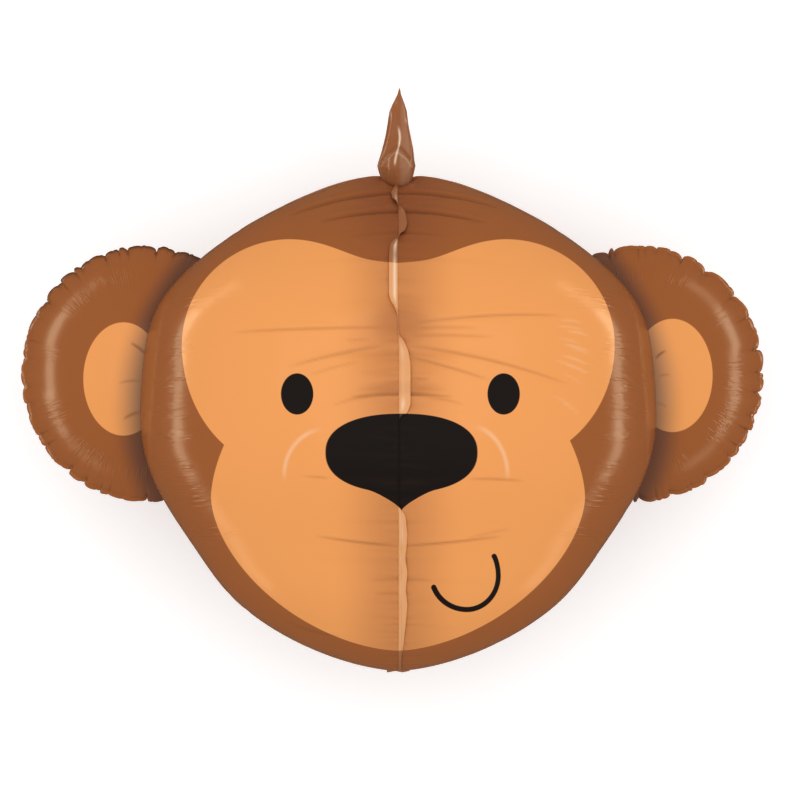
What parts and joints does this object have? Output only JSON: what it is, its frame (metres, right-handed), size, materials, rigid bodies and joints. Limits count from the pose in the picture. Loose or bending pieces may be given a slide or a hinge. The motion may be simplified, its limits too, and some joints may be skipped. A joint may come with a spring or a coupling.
{
  "type": "monkey head foil balloon",
  "caption": "Air-filled foil balloon shaped as a smiling monkey's head with round ears and a tuft of hair, lying on its back",
  "frame": {"origin": "centre of the bounding box in X and Y, at its base in Z", "axes": "+X to the right of a viewer facing the face, from ear to ear; +Y from the chin to the tuft on the crown; +Z out of the face, away from the floor the balloon lies on"},
  "size_m": [0.84, 0.6647, 0.4715],
  "materials": {
    "printed_film": "satin metallised film with a brown, tan and black print"
  },
  "bodies": {
    "root": {"balloon_envelope": "printed_film"}
  },
  "joints": []
}
